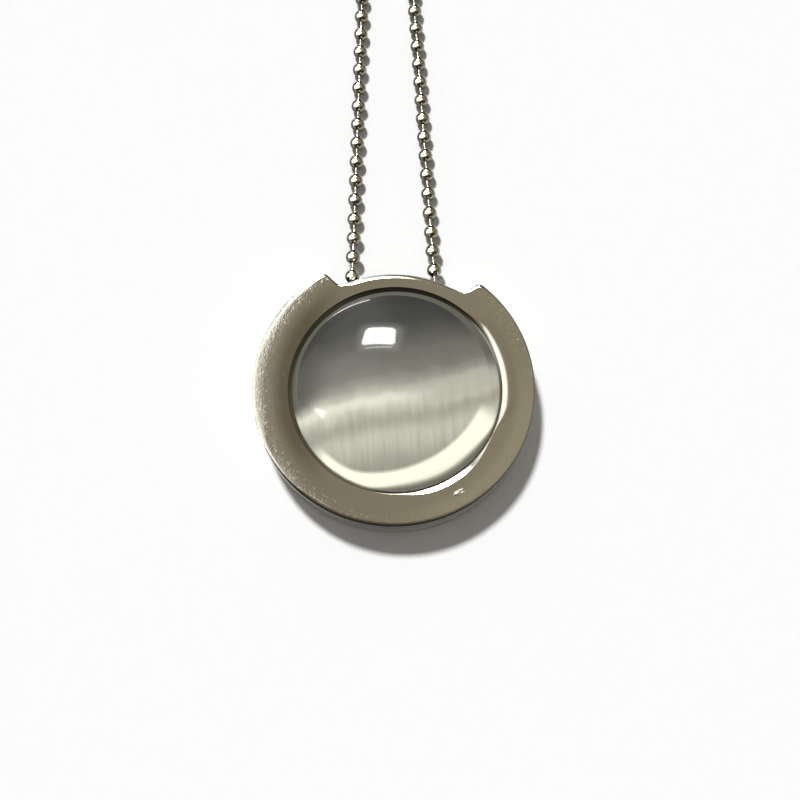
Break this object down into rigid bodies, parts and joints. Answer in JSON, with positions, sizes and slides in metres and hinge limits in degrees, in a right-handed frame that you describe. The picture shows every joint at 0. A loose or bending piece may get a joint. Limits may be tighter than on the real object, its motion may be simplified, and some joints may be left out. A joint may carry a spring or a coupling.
{
  "type": "pendant necklace",
  "caption": "Round polished steel pendant with a notched top edge and a domed grey cat's-eye stone, on a closed loop of fine ball chain laid flat.",
  "frame": {"origin": "middle of the frame's flat back face, which lies on the table", "axes": "+Y from the middle of the frame to the middle of its notch and on along the chain, +Z out of the face of the stone, +X to the right as the stone is looked at"},
  "size_m": [0.108, 0.1861, 0.0055],
  "materials": {
    "polished_steel": "mirror polished, with fine handling scratches",
    "chain_steel": "bright polished",
    "cats_eye": "polished, smoky grey and translucent, with a band of light across fine fibres"
  },
  "bodies": {
    "root": {"frame": "polished_steel", "bail_pin": "polished_steel", "stone": "cats_eye", "ball_chain_front": "chain_steel", "ball_chain_back": "chain_steel", "clasp": "chain_steel"}
  },
  "joints": []
}
